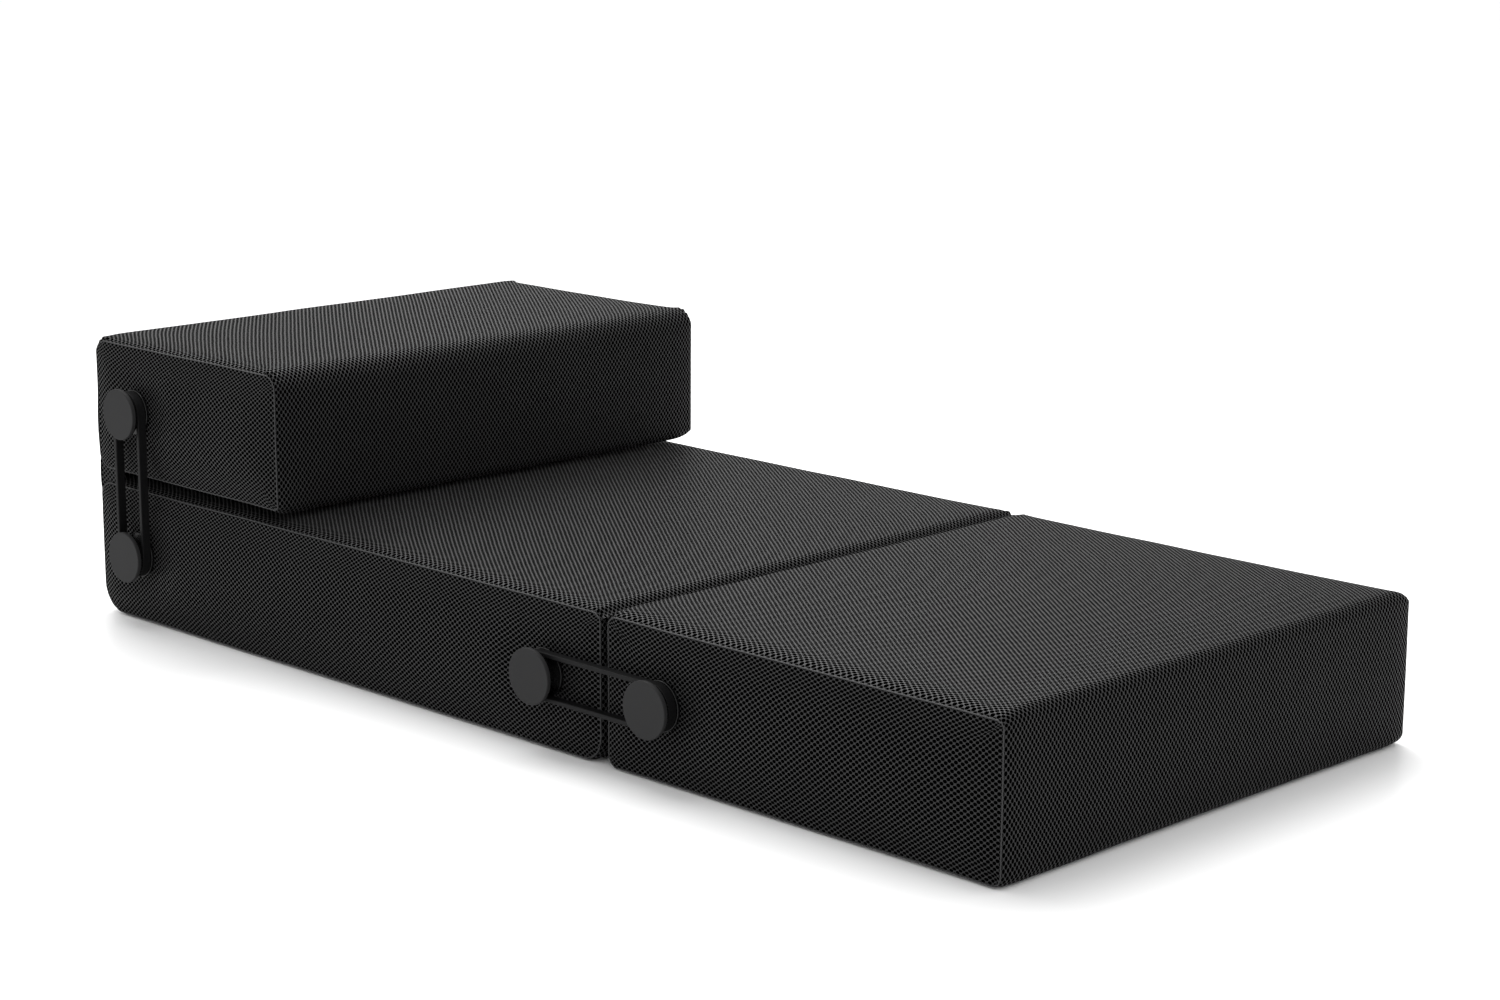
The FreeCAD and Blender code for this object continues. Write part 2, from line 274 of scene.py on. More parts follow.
# %% Grain group
grain_group, ins, outs = new_group(
    "fine_grain",
    [
        ("Vector", "Vector", None),
        ("Scale", "Float", 900.0),
        ("Low", "Float", 0.4),
        ("High", "Float", 0.6),
    ],
    [("Value", "Float"), ("Height", "Float")],
)
speck = node(grain_group, "ShaderNodeTexNoise")
speck.inputs["Detail"].default_value = 4
grain_group.links.new(ins.outputs["Vector"], speck.inputs["Vector"])
grain_group.links.new(ins.outputs["Scale"], speck.inputs["Scale"])
spread = node(grain_group, "ShaderNodeMapRange")
grain_group.links.new(speck.outputs[0], spread.inputs["Value"])
grain_group.links.new(ins.outputs["Low"], spread.inputs["To Min"])
grain_group.links.new(ins.outputs["High"], spread.inputs["To Max"])
grain_group.links.new(spread.outputs[0], outs.inputs["Value"])
grain_group.links.new(speck.outputs[0], outs.inputs["Height"])
print("node group:", grain_group.name)


# %% Material helpers
def new_material(name, metallic=0.0, roughness=0.6, sheen=0.0):
    """A material with its node tree and its main shader."""
    material = bpy.data.materials.new(name)
    material.use_nodes = True
    shader = material.node_tree.nodes["Principled BSDF"]
    shader.inputs["Metallic"].default_value = metallic
    shader.inputs["Roughness"].default_value = roughness
    shader.inputs["Sheen Weight"].default_value = sheen
    return material, material.node_tree, shader


def colour_between(tree, factor, low, high):
    """A colour that runs from low to high with a mask."""
    mix = node(tree, "ShaderNodeMix", data_type="RGBA")
    mix.inputs["A"].default_value = (*low, 1)
    mix.inputs["B"].default_value = (*high, 1)
    tree.links.new(factor, mix.inputs["Factor"])
    return mix.outputs["Result"]


def bump(tree, shader, height, distance):
    """Relief of a height in metres on the shader's normal."""
    made = node(tree, "ShaderNodeBump")
    made.inputs["Distance"].default_value = distance
    tree.links.new(height, made.inputs["Height"])
    tree.links.new(made.outputs[0], shader.inputs["Normal"])


# %% [markdown]
# ### Two shaders for a knit
# A hole in spacer mesh lets light in and gives nothing back, while yarn has a sheen that grows as it
# is seen more from the side. One shader can't do both, so a plain black one, painted shade for the
# deep holes over the knit's black back, shows in the holes and a main one with sheen shows on the
# yarn. The pattern's mask picks between them.

# %% Fabric and plain stuffs
YARN_GLOSS = 0.12


def knit_material(name, hole_shade_colour, yarn_colour, hole, depth, sheen):
    """Spacer mesh that follows the piece's own map, whose unit is the metre."""
    material, tree, shader = new_material(name, roughness=0.5, sheen=sheen)
    shader.inputs["Sheen Roughness"].default_value = 0.35
    shader.inputs["Specular IOR Level"].default_value = YARN_GLOSS
    flat = node(tree, "ShaderNodeUVMap", uv_map="cloth")
    pattern = node(tree, "ShaderNodeGroup")
    pattern.node_tree = mesh_group
    pattern.inputs["Hole"].default_value = hole
    tree.links.new(flat.outputs[0], pattern.inputs["Vector"])
    toned = node(tree, "ShaderNodeMix", data_type="RGBA", blend_type="MULTIPLY")
    toned.inputs["Factor"].default_value = 1
    toned.inputs["A"].default_value = (*yarn_colour, 1)
    tree.links.new(pattern.outputs["Shade"], toned.inputs["B"])
    tree.links.new(toned.outputs["Result"], shader.inputs["Base Color"])
    bump(tree, shader, pattern.outputs["Height"], depth)
    # The holes' diffuse shader is painted shade: near black for the shade deep in each hole.
    hole_shade_shader = node(tree, "ShaderNodeBsdfDiffuse")
    hole_shade_shader.inputs["Color"].default_value = (*hole_shade_colour, 1)
    mixed = node(tree, "ShaderNodeMixShader")
    tree.links.new(pattern.outputs["Yarn"], mixed.inputs[0])
    tree.links.new(hole_shade_shader.outputs[0], mixed.inputs[1])
    tree.links.new(shader.outputs[0], mixed.inputs[2])
    tree.links.new(mixed.outputs[0], tree.nodes["Material Output"].inputs["Surface"])
    return material


def grained_material(name, colours, scale, depth, roughness, gloss=0.5, metallic=0.0):
    """A plain stuff with fine grain in colour, roughness and relief. Pairs run from low to high."""
    material, tree, shader = new_material(name, metallic=metallic)
    position = node(tree, "ShaderNodeTexCoord")
    grain = node(tree, "ShaderNodeGroup")
    grain.node_tree = grain_group
    grain.inputs["Scale"].default_value = scale
    grain.inputs["Low"].default_value = roughness[0]
    grain.inputs["High"].default_value = roughness[1]
    tree.links.new(position.outputs["Object"], grain.inputs["Vector"])
    tree.links.new(grain.outputs["Value"], shader.inputs["Roughness"])
    colour = colour_between(tree, grain.outputs["Height"], *colours)
    tree.links.new(colour, shader.inputs["Base Color"])
    bump(tree, shader, grain.outputs["Height"], depth)
    shader.inputs["Specular IOR Level"].default_value = gloss
    return material


# %% [markdown]
# ### The materials
# The knit is black, so the yarn is only a few hundredths as bright as white. The holes are darker
# still, with painted shade for their depth over the knit's black back. The caps are a matt mid grey,
# and the spools and loops are near black, as they are moulded from other stuffs. Foam, anchors and
# screws are hidden unless a cover is taken off.

# %% Materials
# Painted shade: the holes' near-black colour stands for the shade deep in each hole.
HOLE_SHADE = (0.0003, 0.0003, 0.0003)
FINISH = {
    "spacer_mesh": knit_material(
        "spacer_mesh", HOLE_SHADE, (0.029, 0.029, 0.0295), hole=0.31, depth=2.0 * MM, sheen=0.07,
    ),
    "hinge_fabric": knit_material(
        "hinge_fabric", HOLE_SHADE, (0.022, 0.022, 0.0225), hole=0.28, depth=1.5 * MM, sheen=0.07,
    ),
    "seam_thread": grained_material(
        "seam_thread", [(0.010, 0.010, 0.0105), (0.020, 0.020, 0.021)],
        scale=1500, depth=0.2 * MM, roughness=(0.55, 0.75),
    ),
    "foam": grained_material(
        "foam", [(0.70, 0.66, 0.55), (0.86, 0.83, 0.73)],
        scale=700, depth=0.8 * MM, roughness=(0.85, 0.95),
    ),
    "zip_tape": grained_material(
        "zip_tape", [(0.008, 0.008, 0.009), (0.025, 0.025, 0.027)],
        scale=1800, depth=0.2 * MM, roughness=(0.7, 0.9),
    ),
    "zip_metal": grained_material(
        "zip_metal", [(0.03, 0.03, 0.032), (0.07, 0.07, 0.074)],
        scale=400, depth=0.05 * MM, roughness=(0.28, 0.42), metallic=0.8,
    ),
    "cap_plastic": grained_material(
        "cap_plastic", [(0.017, 0.017, 0.0175), (0.022, 0.022, 0.0225)],
        scale=1600, depth=0.05 * MM, roughness=(0.5, 0.62), gloss=0.1,
    ),
    "spool_plastic": grained_material(
        "spool_plastic", [(0.002, 0.002, 0.0022), (0.004, 0.004, 0.0042)],
        scale=900, depth=0.05 * MM, roughness=(0.2, 0.32), gloss=0.25,
    ),
    "anchor_plastic": grained_material(
        "anchor_plastic", [(0.04, 0.04, 0.04), (0.07, 0.07, 0.07)],
        scale=500, depth=0.1 * MM, roughness=(0.5, 0.65),
    ),
    "screw_steel": grained_material(
        "screw_steel", [(0.50, 0.50, 0.51), (0.66, 0.66, 0.67)],
        scale=600, depth=0.03 * MM, roughness=(0.22, 0.34), metallic=1.0,
    ),
    "loop_rubber": grained_material(
        "loop_rubber", [(0.003, 0.003, 0.0032), (0.006, 0.006, 0.0063)],
        scale=1200, depth=0.08 * MM, roughness=(0.45, 0.6), gloss=0.12,
    ),
}
print("materials:", len(FINISH))

# %% Materials on the engineering model's pieces
for part in frame["record"]["subparts"]:
    mesh_data = NODES[part["node"]].data
    for number in range(max(1, len(mesh_data.materials))):
        if number < len(mesh_data.materials):
            mesh_data.materials[number] = FINISH[part["material_slot"]]
        else:
            mesh_data.materials.append(FINISH[part["material_slot"]])

# %% [markdown]
# ## Covers and foam
# A sewn cover is pulled in at its seams and crowned between them. Each block starts as a box with
# rounded long edges, cut into a grid of small faces. The side seams are drawn in, the seam vertices
# are pinned, and a cloth simulation with some inner pressure crowns every face. How far a point may
# move is capped, because blocks that fold onto each other have to lie flat. Then the skin is
# unpicked along its seams into the wrap, the underside and the two side panels.
#
# The panels could also be cut flat, sewn and inflated as one cloth simulation from the start. That
# gives freer folds, but no hold on the outline, and the folded blocks would sink into each other.

# %% Sizes of the covers
COVER_THICKNESS = 3.5 * MM
CORE_GAP = 2.5 * MM      # the room between the foam and its cover
GRID = 16 * MM           # the size of a face away from the seams
MERGE = 0.8 * MM         # closer vertices than this become one
TOUCH = 0.2 * MM         # a point this near to a face counts as lying on it
EDGE_CUTS = (3 * MM, 8 * MM, 15 * MM, 24 * MM, 35 * MM)   # closer rows of faces beside the seams
SEAM_DROP = 9 * MM       # how far a side seam is drawn in from the block's top and bottom
FRONT_DROP = 4 * MM      # from its front and back
FLOOR_DROP = 4 * MM      # and from the floor, where the block's weight flattens the edge
SEAM_IN = 2.5 * MM       # how far it is drawn in from the side panel's face
DROP_WIDTH = 36 * MM     # how wide the rounding beside the seam is
PANEL_DROP_WIDTH = 45 * MM   # how far into a side panel the drop is felt
ARC_STEPS = 5            # faces round each long edge
OUTLINE_STEPS = 16       # steps round a quarter circle when the outline is measured
CROWN = np.array([9, 2.2, 2.2]) * MM   # how far the faces crown, by direction
WAVE = 0.7 * MM          # slight unevenness of hand-sewn cloth
DIMPLE_FLAT = 35 * MM    # the cover lies flat under a knob this far from its axis
DIMPLE_END = 100 * MM    # and is free again this far from it
HEM = 5 * MM             # the hem beside a zip
ZIP_UPRIGHT = 10 * MM    # a tape that is taller than this stands on a back face
ZIP_FLAT = 12 * MM       # the back lies flat this far from the middle of its zip
ZIP_FLAT_FADE = 40 * MM  # and is free again this much further on
PULL = 0.16              # how much the knit is drawn towards a knob
PULL_WIDTH = 55 * MM     # how far from the knob the draw is felt

# The radius of each long edge: bottom front, bottom back, top back, top front.
EDGE_RADII = {
    "base": np.array([36, 46, 28, 20]) * MM,
    "head": np.array([14, 28, 28, 28]) * MM,
    "foot": np.array([16, 18, 20, 16]) * MM,
}
KNOBS = {
    "base": ("base_rear_knob", "base_front_knob"),
    "head": ("head_knob",),
    "foot": ("foot_knob",),
}
print("covers:", round(COVER_THICKNESS / MM, 1), "mm thick, seams drawn in", round(SEAM_DROP / MM, 1), "mm")


# %% [markdown]
# ### One block
# Everything about a block comes from the engineering model's boxes: its size, the places of its knobs
# and where its zip is. The outline runs round the long section, and it serves both to lay the knit
# along the cloth and to say which way a point of the skin faces.


# %% A block and its outline
class Block:
    """The box of one block and the shape of its outline, read from the frame."""

    def __init__(self, name):
        low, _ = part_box(name + "_side_panel_left")
        _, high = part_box(name + "_side_panel_right")
        self.name, self.low, self.high = name, low, high
        self.radii = EDGE_RADII[name]
        self.corners = [(low.y, low.z), (high.y, low.z), (high.y, high.z), (low.y, high.z)]
        caps = [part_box(knob + "_cap_left") for knob in KNOBS[name]]
        self.knobs = [((a.y + b.y) / 2, (a.z + b.z) / 2) for a, b in caps]
        self.zip_low, self.zip_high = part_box(name + "_zip_tape")
        self.zip_on_back = self.zip_high.z - self.zip_low.z > ZIP_UPRIGHT

    def zip_line(self):
        """The zip's edges across: up the back, or along the underside."""
        axis = 2 if self.zip_on_back else 1
        return axis, (self.zip_low[axis], self.zip_high[axis])

    def outline(self):
        """Points round the section, from the middle of the underside towards the foot end."""
        middle = (self.low.y + self.high.y) / 2
        points = [(middle, self.low.z)]
        signs = [(1, 1), (-1, 1), (-1, -1), (1, -1)]
        for corner in (0, 3, 2, 1):
            (y, z), (into_y, into_z), r = self.corners[corner], signs[corner], self.radii[corner]
            arc = []
            for step in range(OUTLINE_STEPS + 1):
                turn = math.pi / 2 * step / OUTLINE_STEPS
                arc.append((y + into_y * r * (1 - math.sin(turn)), z + into_z * r * (1 - math.cos(turn))))
            points += arc if corner in (0, 2) else arc[::-1]
        points.append((middle, self.low.z))
        return np.array(points)

    def inside(self, y, z):
        """Distance inside the outline, and the outward direction there, for arrays of points."""
        centre = np.array([(self.low.y + self.high.y) / 2, (self.low.z + self.high.z) / 2])
        half = np.array([self.high.y - self.low.y, self.high.z - self.low.z]) / 2
        from_centre = np.stack([y, z], 1) - centre
        sign = np.where(from_centre < 0, -1.0, 1.0)
        quarter = np.where(z < centre[1], np.where(y < centre[0], 0, 1), np.where(y < centre[0], 3, 2))
        r = self.radii[quarter]
        q = np.abs(from_centre) - half + r[:, None]
        in_corner = (q > 0).all(1)
        length = np.maximum(np.hypot(q[:, 0], q[:, 1]), 1e-9)
        depth = np.where(in_corner, r - length, r - q.max(1))
        flat = np.where((q[:, 0] > q[:, 1])[:, None], [1.0, 0.0], [0.0, 1.0])
        outward = np.where(in_corner[:, None], q / length[:, None], flat) * sign
        return depth, outward


BLOCKS = {name: Block(name) for name in EDGE_RADII}
print("blocks:", ", ".join(BLOCKS))


# %% [markdown]
# ### The grid of faces
# The bevel tool rounds the long edges and the bisect tool cuts the rows. A remesh would be shorter,
# but it doesn't keep its rows along the seams, which the panels are later unpicked by. Beside the
# seams the rows are closer, because the cover turns sharply there.


# %% The grid of faces
def even_cuts(low, high, start_offset, end_offset):
    """Places of cuts: close ones beside both ends, and even ones between."""
    near = [low + o for o in EDGE_CUTS] + [high - o for o in EDGE_CUTS]
    first, last = low + start_offset, high - end_offset
    count = max(1, round((last - first) / GRID))
    even = [first + (last - first) * step / count for step in range(count + 1)]
    return sorted(set(round(cut, 5) for cut in near + even))


def build_skin(block):
    """The block's closed skin: a box with rounded long edges, cut into small faces."""
    skin = new_box(block.name + "_skin", block.low, block.high)
    edit(skin, "EDGE")
    for (y, z), r in zip(block.corners, block.radii):
        pick(skin, "edges", lambda m, e: abs(m.y - y) < 1e-5 and abs(m.z - z) < 1e-5)
        bpy.ops.mesh.bevel(offset=float(r), offset_type="OFFSET", segments=ARC_STEPS, affect="EDGES")
    edge = EDGE_CUTS[-1]
    front, back = max(block.radii[[0, 3]]), max(block.radii[[1, 2]])
    bottom, top = max(block.radii[:2]), max(block.radii[2:])
    cuts = [
        ((1, 0, 0), even_cuts(block.low.x, block.high.x, edge, edge)),
        ((0, 1, 0), even_cuts(block.low.y, block.high.y, front, back)),
        ((0, 0, 1), even_cuts(block.low.z, block.high.z, bottom, top)),
    ]
    axis, edges = block.zip_line()
    cuts[axis][1].extend([edges[0] - HEM, *edges, edges[1] + HEM])
    cuts[0][1].extend([block.zip_low.x, block.zip_high.x])
    for normal, offsets in cuts:
        for offset in sorted(offsets):
            bpy.ops.mesh.select_all(action="SELECT")
            bpy.ops.mesh.bisect(plane_co=Vector(normal) * offset, plane_no=normal)
    bpy.ops.mesh.select_all(action="SELECT")
    bpy.ops.mesh.remove_doubles(threshold=MERGE)
    bpy.ops.object.mode_set(mode="OBJECT")
    return skin


print("cuts beside a seam:", len(EDGE_CUTS), "- cuts elsewhere:", round(GRID / MM, 1), "mm apart")


# %% [markdown]
# ### The cloth's map
# The knit runs round the wrap and across the side panels, so each face gets flat coordinates in
# metres before anything is bent: across and along the cloth on the wrap, up and along on the panels.
# Round a knob the map is drawn in, as the cloth is. An automatic unwrap would stretch the knit
# and turn it by chance.


# %% The cloth's map
WRAP, UNDERSIDE, LEFT, RIGHT = range(4)


def along_outline(block, y, z):
    """How far along the outline each point lies."""
    path = block.outline()
    start, step = path[:-1], np.diff(path, axis=0)
    length = np.hypot(step[:, 0], step[:, 1])
    travelled = np.concatenate([[0], np.cumsum(length)])
    point = np.stack([y, z], 1)[:, None, :] - start[None]
    share = np.clip((point * step).sum(2) / np.maximum(length, 1e-9) ** 2, 0, 1)
    miss = np.linalg.norm(point - share[..., None] * step, axis=2)
    nearest = miss.argmin(1)
    rows = np.arange(len(y))
    return travelled[nearest] + share[rows, nearest] * length[nearest], travelled[-1]


def drawn_in(block, y, z):
    """Flat panel coordinates, pulled towards each knob."""
    flat = np.stack([z, y], 1)
    for knob_y, knob_z in block.knobs:
        away = flat - [knob_z, knob_y]
        distance = np.hypot(away[:, 0], away[:, 1])
        flat = flat + away * (PULL * np.exp(-(distance / PULL_WIDTH) ** 2))[:, None]
    return flat


def map_cloth(skin, block):
    """Sorts the faces into panels and gives them their flat coordinates."""
    mesh = skin.data
    points = places(skin)
    travelled, whole = along_outline(block, points[:, 1], points[:, 2])
    panel_flat = drawn_in(block, points[:, 1], points[:, 2])
    layer = mesh.uv_layers.new(name="cloth")
    for _ in range(4):
        mesh.materials.append(FINISH["spacer_mesh"])
    front, back = block.low.y + block.radii[0], block.high.y - block.radii[1]
    for face in mesh.polygons:
        corners = list(face.vertices)
        middle, normal = face.center, face.normal
        if abs(normal.x) > 0.9:
            face.material_index = LEFT if normal.x < 0 else RIGHT
            flat = panel_flat[corners]
        else:
            under = normal.z < -0.99 and front < middle.y < back
            face.material_index = UNDERSIDE if under else WRAP
            way = travelled[corners]
            if way.max() - way.min() > whole / 2:
                way = np.where(way < whole / 2, way + whole, way)
            flat = np.stack([points[corners, 0], way], 1)
        for loop, place in zip(face.loop_indices, flat):
            layer.data[loop].uv = place


print("panels of a cover: wrap, underside, left side, right side")


# %% [markdown]
# ### Drawing in the seams
# A seam is the shortest way round the cover, so the thread pulls the block's edge in, and the cloth
# beside it turns over in a curve. The skin's own vertices are moved along that curve. A bevel along
# the seam would give the same curve, but it would split the seam line that the panels need.


# %% Seams drawn in
def draw_in_seams(skin, block):
    """Rounds the skin towards the side seams and returns which vertices lie on them."""
    points = places(skin)
    depth, outward = block.inside(points[:, 1], points[:, 2])
    half = block.high.x
    from_side = half - np.abs(points[:, 0])
    on_wrap, on_panel = depth < TOUCH, from_side < TOUCH

    def drop(distance):
        share = 1 - np.clip(distance / DROP_WIDTH, 0, 1)
        return 1 - np.sqrt(1 - share ** 2)

    inwards = np.where(on_wrap, drop(from_side), 0)
    inwards = np.where(on_panel & ~on_wrap, np.clip(1 - depth / PANEL_DROP_WIDTH, 0, 1), inwards)
    on_floor = (outward[:, 1] < 0) & (block.low.z < 1 * MM)
    drops = np.stack([np.full(len(points), FRONT_DROP), np.where(on_floor, FLOOR_DROP, SEAM_DROP)], 1)
    points[:, 1:] -= outward * inwards[:, None] * drops
    sideways = np.where(on_panel, SEAM_IN * drop(np.maximum(depth, 0)), 0)
    points[:, 0] -= np.sign(points[:, 0]) * sideways
    move_to(skin, points)
    return np.flatnonzero(on_wrap & on_panel)


print("seams drawn in:", round(SEAM_DROP / MM, 1), "mm, over", round(DROP_WIDTH / MM, 1), "mm")


# %% [markdown]
# ### Crowning the faces
# The cloth simulation inflates the skin a little while the seams stay pinned. The result is scaled in
# each direction to the crown that the block may have, so that folded blocks still lie face to face.
# A bulge worked out by a formula would be even all over, where real cloth is taut near its seams.


# %% The crown
PRESSURE = 4
STRETCH_STIFFNESS = 40
BENDING_STIFFNESS = 8
CLOTH_FRAMES = 20


def crown(skin, seam_vertices):
    """Inflates the skin between its pinned seams."""
    before = places(skin)
    group = skin.vertex_groups.new(name="seams")
    group.add([int(v) for v in seam_vertices], 1.0, "REPLACE")
    activate(skin)
    cloth = skin.modifiers.new("cloth", "CLOTH")
    cloth.settings.use_pressure = True
    cloth.settings.uniform_pressure_force = PRESSURE
    cloth.settings.effector_weights.gravity = 0
    cloth.settings.tension_stiffness = STRETCH_STIFFNESS
    cloth.settings.compression_stiffness = STRETCH_STIFFNESS
    cloth.settings.bending_stiffness = BENDING_STIFFNESS
    cloth.settings.vertex_group_mass = "seams"
    cloth.collision_settings.use_collision = False
    cloth.point_cache.frame_end = CLOTH_FRAMES
    for number in range(1, CLOTH_FRAMES + 1):
        bpy.context.scene.frame_set(number)
    bpy.ops.object.modifier_apply(modifier="cloth")
    bpy.context.scene.frame_set(1)
    skin.vertex_groups.clear()
    moved = places(skin) - before
    most = np.abs(moved).max(0)
    moved *= np.where(most > 0.1 * MM, CROWN / np.maximum(most, 1e-9), 1)
    move_to(skin, before + moved)
    print(skin.name, "crowned by up to", (np.abs(moved).max(0) / MM).round(1), "mm")


print("cloth frames:", CLOTH_FRAMES)


# %% [markdown]
# ### Waves and dimples
# A knob's spool presses the side panel flat round its axis, and the cover comes free further out. The
# hold fades with a smooth step, so that no ring shows. Elsewhere the cloth has slight waves. The back
# of the head is held flat along its zip, as the tape is stiffer than the knit.


# %% Waves and dimples
WAVES_PER_METRE = 9
WAVE_STARTS = (Vector((7, 0, 0)), Vector((0, 13, 0)))   # so that the two directions differ
BACK_DEPTH = 5 * MM      # points this near to the back face belong to it
UNDER_KNOB = 0.1 * MM    # the cover under a knob lies this far inside the spool's face


def settle(skin, block):
    """Adds the cloth's slight waves and holds the side panels flat under the knobs."""
    points = places(skin)
    half = block.high.x
    for number, point in enumerate(points):
        spot = Vector(point) * WAVES_PER_METRE
        points[number, 1] += WAVE * noise.noise(spot + WAVE_STARTS[0])
        points[number, 2] += WAVE * noise.noise(spot + WAVE_STARTS[1])
    side = np.sign(points[:, 0])
    near_side = np.abs(points[:, 0]) > half - 2 * SEAM_IN
    for knob_y, knob_z in block.knobs:
        distance = np.hypot(points[:, 1] - knob_y, points[:, 2] - knob_z)
        share = np.clip((DIMPLE_END - distance) / (DIMPLE_END - DIMPLE_FLAT), 0, 1)
        hold = share ** 2 * (3 - 2 * share)
        flat = side * (half - UNDER_KNOB)
        points[:, 0] = np.where(near_side, points[:, 0] * (1 - hold) + flat * hold, points[:, 0])
    points[:, 2] = np.maximum(points[:, 2], 0)
    if block.zip_on_back:
        height = (block.zip_low.z + block.zip_high.z) / 2
        away = np.abs(points[:, 2] - height) - ZIP_FLAT
        on_back = points[:, 1] > block.high.y - BACK_DEPTH
        hold = np.where(on_back, 1 - np.clip(away / ZIP_FLAT_FADE, 0, 1), 0)
        points[:, 1] = points[:, 1] * (1 - hold) + block.high.y * hold
    move_to(skin, points)


print("held flat under a knob:", round(DIMPLE_FLAT / MM, 1), "mm round its axis")


# %% [markdown]
# ### The zip's slot
# The cover is open along its zip, and the tape lies across the opening. The faces in the slot are
# picked by place and deleted, which leaves the hem's rows as they are. A boolean cut would leave
# uneven faces beside the hem.


# %% Slot for the zip
SLOT_DEPTH = 4 * MM      # only faces this near to the block's outer face are cut


def cut_slot(skin, block):
    """Opens the cover along its zip."""
    axis, edges = block.zip_line()
    edit(skin, "FACE")

    def in_slot(middle, face):
        if block.zip_on_back:
            outer = middle.y > block.high.y - SLOT_DEPTH
        else:
            outer = middle.z < block.low.z + SLOT_DEPTH
        return outer and abs(middle.x) < block.zip_high.x and edges[0] < middle[axis] < edges[1]

    pick(skin, "faces", in_slot)
    bpy.ops.mesh.delete(type="FACE")
    bpy.ops.object.mode_set(mode="OBJECT")


print("zips on a back:", [name for name, block in BLOCKS.items() if block.zip_on_back])


# %% [markdown]
# ### The foam core
# Cut foam fills its cover, so a slightly smaller copy of the skin is the core. It is scaled by its own
# amount in each direction, which leaves the same room all round. Shrinking along the normals would
# fold the core over itself at the corners.


# %% Foam core
def make_core(skin, block):
    """A smaller copy of the skin in foam."""
    activate(skin)
    bpy.ops.object.duplicate()
    core = bpy.context.object
    core.name = block.name + "_foam"
    core.data.materials.clear()
    core.data.materials.append(FINISH["foam"])
    centre = np.array((block.low + block.high) / 2)
    half = np.array((block.high - block.low) / 2)
    share = (half - COVER_THICKNESS - CORE_GAP) / half
    move_to(core, centre + (places(core) - centre) * share)
    smooth(core, 60)
    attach(core, block.name)
    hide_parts(block.name + "_foam_core")
    print(core.name, "in", len(core.data.polygons), "faces")


# %% [markdown]
# ### Unpicking the skin
# One level of subdivision smooths the finished skin. The faces of each panel become a piece of their
# own, and Solidify gives it the thickness of spacer mesh. Panels that were modelled one by one would
# hardly meet along their seams. The seam itself is a fine rolled edge round each side panel: the
# panel's outline, turned into a curve with a round section.


# %% Panels and seams
REPLACED = {
    WRAP: "cover_wrap",
    UNDERSIDE: "cover_underside",
    LEFT: "side_panel_left",
    RIGHT: "side_panel_right",
}
PIECE_NAMES = {WRAP: "cloth_wrap", UNDERSIDE: "cloth_underside", LEFT: "cloth_left", RIGHT: "cloth_right"}
SEAM_RADIUS = 0.9 * MM
THIN = 0.1               # a panel that spans less than this in a direction is flat in it


def make_seam(panel, name):
    """A fine rolled edge along the panel's outline."""
    edit(panel, "EDGE")
    bpy.ops.mesh.select_non_manifold()
    bpy.ops.mesh.duplicate()
    bpy.ops.mesh.separate(type="SELECTED")
    bpy.ops.object.mode_set(mode="OBJECT")
    seam = [o for o in bpy.context.selected_objects if o != panel][0]
    seam.name = name
    activate(seam)
    bpy.ops.object.convert(target="CURVE")
    seam = bpy.context.object
    seam.data.bevel_depth = SEAM_RADIUS
    seam.data.bevel_resolution = 2
    bpy.ops.object.convert(target="MESH")
    seam = bpy.context.object
    seam.data.materials.clear()
    seam.data.materials.append(FINISH["seam_thread"])
    smooth(seam, 80)
    return seam


def which_panel(piece):
    """Tells a panel by its shape: a side panel is thin across, the underside is thin upwards."""
    points = places(piece)
    size = np.ptp(points, axis=0)
    if size[0] < THIN:
        return LEFT if points[0, 0] < 0 else RIGHT
    return UNDERSIDE if size[2] < THIN else WRAP


def unpick(skin, block):
    """Separates the skin into its panels and gives each its thickness."""
    activate(skin)
    bpy.ops.object.mode_set(mode="EDIT")
    bpy.ops.mesh.separate(type="MATERIAL")
    bpy.ops.object.mode_set(mode="OBJECT")
    for piece in list(bpy.context.selected_objects):
        panel = which_panel(piece)
        piece.name = block.name + "_" + PIECE_NAMES[panel]
        piece.data.materials.clear()
        piece.data.materials.append(FINISH["spacer_mesh"])
        if panel in (LEFT, RIGHT):
            seam = make_seam(piece, piece.name.replace("cloth", "seam"))
            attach(seam, block.name)
        finish_modifier(piece, "SOLIDIFY", thickness=COVER_THICKNESS, offset=-1)
        smooth(piece, 50)
        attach(piece, block.name)
        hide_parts(block.name + "_" + REPLACED[panel])
        print(piece.name, len(piece.data.polygons), "faces")


# %% [markdown]
# ### All three blocks
# Each block goes through the same steps, in the order in which the cover would be made and filled.

# %% Make the three blocks
for block in BLOCKS.values():
    skin = build_skin(block)
    map_cloth(skin, block)
    seam_vertices = draw_in_seams(skin, block)
    crown(skin, seam_vertices)
    settle(skin, block)
    make_core(skin, block)
    cut_slot(skin, block)
    finish_modifier(skin, "SUBSURF", levels=1, render_levels=1)
    unpick(skin, block)

# %% [markdown]
# ## Zips
# A zip is a woven tape across the cover's slot, with a row of teeth standing on it. One tooth is
# modelled and an array repeats it along the tape, so that the teeth catch light as a row does. A
# texture would be lighter, but flat. The slider keeps the engineering model's shape and runs along
# the teeth.

# %% Zips
TOOTH_PITCH = 2.2 * MM
TOOTH = Vector((1.3, 5.0, 1.2)) * MM    # along the zip, across it, and standing up
TOOTH_ROUNDING = 0.3 * MM
TAPE_THICKNESS = 1 * MM


